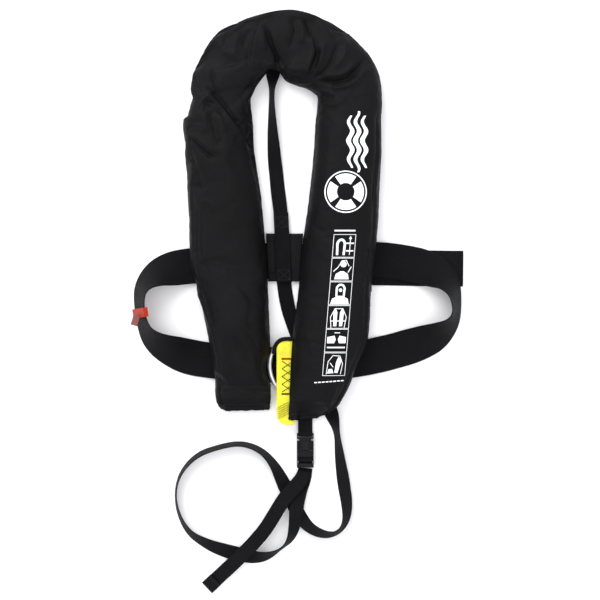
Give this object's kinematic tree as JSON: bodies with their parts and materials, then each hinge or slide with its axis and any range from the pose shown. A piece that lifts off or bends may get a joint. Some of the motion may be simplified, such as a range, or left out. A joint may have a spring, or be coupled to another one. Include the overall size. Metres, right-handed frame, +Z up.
{
  "type": "inflatable life jacket",
  "caption": "Horseshoe inflatable life jacket with folded nylon cover, waist belt, back strap, D-ring, lifting strop and a loose crotch strap with a side-release buckle.",
  "frame": {"origin": "centre of the jacket's outline, without the loose crotch strap, on the surface it lies on", "axes": "+Y to the neck, +Z up out of the front of the jacket, +X to the wearer's left"},
  "size_m": [0.4633, 0.8122, 0.0542],
  "materials": {
    "cover_nylon": "satin",
    "lining": "matte",
    "webbing": "satin",
    "hook_and_loop": "matte",
    "bladder_fabric": "satin",
    "reflective": "satin",
    "stainless": "satin",
    "yellow_webbing": "satin",
    "red_thread": "matte",
    "black_plastic": "satin",
    "red_plastic": "satin",
    "white_plastic": "satin",
    "yellow_plastic": "satin",
    "cylinder_steel": "satin",
    "brass": "satin",
    "rubber": "matte"
  },
  "bodies": {
    "jacket": {"cover_front": "cover_nylon", "back_panel_left": "lining", "back_panel_right": "lining", "collar_pad": "lining", "belt_loop_left_upper": "webbing", "belt_loop_left_lower": "webbing", "belt_loop_right_upper": "webbing", "belt_loop_right_lower": "webbing", "closure_loop_tape": "hook_and_loop", "closure_hook_tape": "hook_and_loop", "bladder": "bladder_fabric", "reflective_tape": "reflective", "waist_belt": "webbing", "front_strap_right": "webbing", "back_strap": "webbing", "back_belt_sleeve": "lining", "back_strap_anchor": "webbing", "back_patch": "lining", "belt_adjuster": "stainless", "ring_loop": "webbing", "belt_hook": "stainless", "lifting_strop": "yellow_webbing", "strop_bartacks": "red_thread", "crotch_strap_root": "webbing", "buckle_socket": "black_plastic", "buckle_tab": "webbing", "inflator_body": "white_plastic", "lever_pin": "stainless", "pin_spring": "stainless", "manifold": "brass", "manifold_gasket": "rubber", "manifold_nut": "brass", "oral_tube_foot": "rubber", "oral_tube": "rubber", "oral_valve_housing": "black_plastic", "oral_valve_spring": "stainless", "whistle": "yellow_plastic"},
    "strap_plug": {"buckle_plug": "black_plastic", "crotch_strap_main": "webbing", "crotch_strap_tail": "webbing", "crotch_strap_wrap": "webbing", "strap_end_tab": "webbing"},
    "prong_left": {"buckle_prong_left": "black_plastic"},
    "prong_right": {"buckle_prong_right": "black_plastic"},
    "ring": {"d_ring": "stainless"},
    "keeper": {"belt_keeper": "red_plastic"},
    "lever": {"firing_lever": "yellow_plastic", "pull_bead": "red_plastic"},
    "piercer": {"piercing_pin": "stainless"},
    "cylinder": {"co2_cylinder": "cylinder_steel"},
    "sensor": {"sensor_cap": "yellow_plastic"},
    "oral_cap": {"oral_cap": "yellow_plastic"},
    "oral_valve": {"oral_valve_stem": "white_plastic"}
  },
  "joints": [
    {"name": "crotch_buckle_slide", "type": "slide", "parent": "jacket", "child": "strap_plug", "axis": [0, -1, 0], "range_m": [0, 0.045]},
    {"name": "prong_left_flex", "type": "hinge", "parent": "strap_plug", "child": "prong_left", "pos_m": [0.0043, -0.3061, 0.0054], "axis": [0, 0, -1], "range_deg": [0, 9], "stiffness_Nm_per_rad": 0.25},
    {"name": "prong_right_flex", "type": "hinge", "parent": "strap_plug", "child": "prong_right", "pos_m": [0.0177, -0.3061, 0.0054], "axis": [0, 0, 1], "range_deg": [0, 9], "stiffness_Nm_per_rad": 0.25},
    {"name": "ring_swing", "type": "hinge", "parent": "jacket", "child": "ring", "pos_m": [-0.01, -0.187, 0.00725], "axis": [0, 1, 0], "range_deg": [0, 6]},
    {"name": "keeper_slide", "type": "slide", "parent": "jacket", "child": "keeper", "axis": [-0.1483, 0.9889, 0], "range_m": [-0.005, 0.005]},
    {"name": "lever_pull", "type": "hinge", "parent": "jacket", "child": "lever", "pos_m": [-0.065, -0.17, 0.024], "axis": [0, 0, -1], "range_deg": [0, 85]},
    {"name": "pin_stroke", "type": "slide", "parent": "jacket", "child": "piercer", "axis": [0, 1, 0], "range_m": [0, 0.004]},
    {"name": "cylinder_unscrew", "type": "hinge", "parent": "jacket", "child": "cylinder", "pos_m": [-0.088, -0.1, 0.0255], "axis": [0, 1, 0], "continuous": true},
    {"name": "sensor_cap_unscrew", "type": "hinge", "parent": "jacket", "child": "sensor", "pos_m": [-0.088, -0.187, 0.0255], "axis": [0, 1, 0], "continuous": true},
    {"name": "oral_cap_pull", "type": "slide", "parent": "jacket", "child": "oral_cap", "axis": [0, 1, 0], "range_m": [0, 0.012]},
    {"name": "oral_valve_press", "type": "slide", "parent": "jacket", "child": "oral_valve", "axis": [0, -1, 0], "range_m": [0, 0.003], "stiffness_N_per_m": 400}
  ],
  "couplings": [
    {"joint": "pin_stroke", "follows": "lever_pull", "m_per_rad": 0.00268}
  ]
}
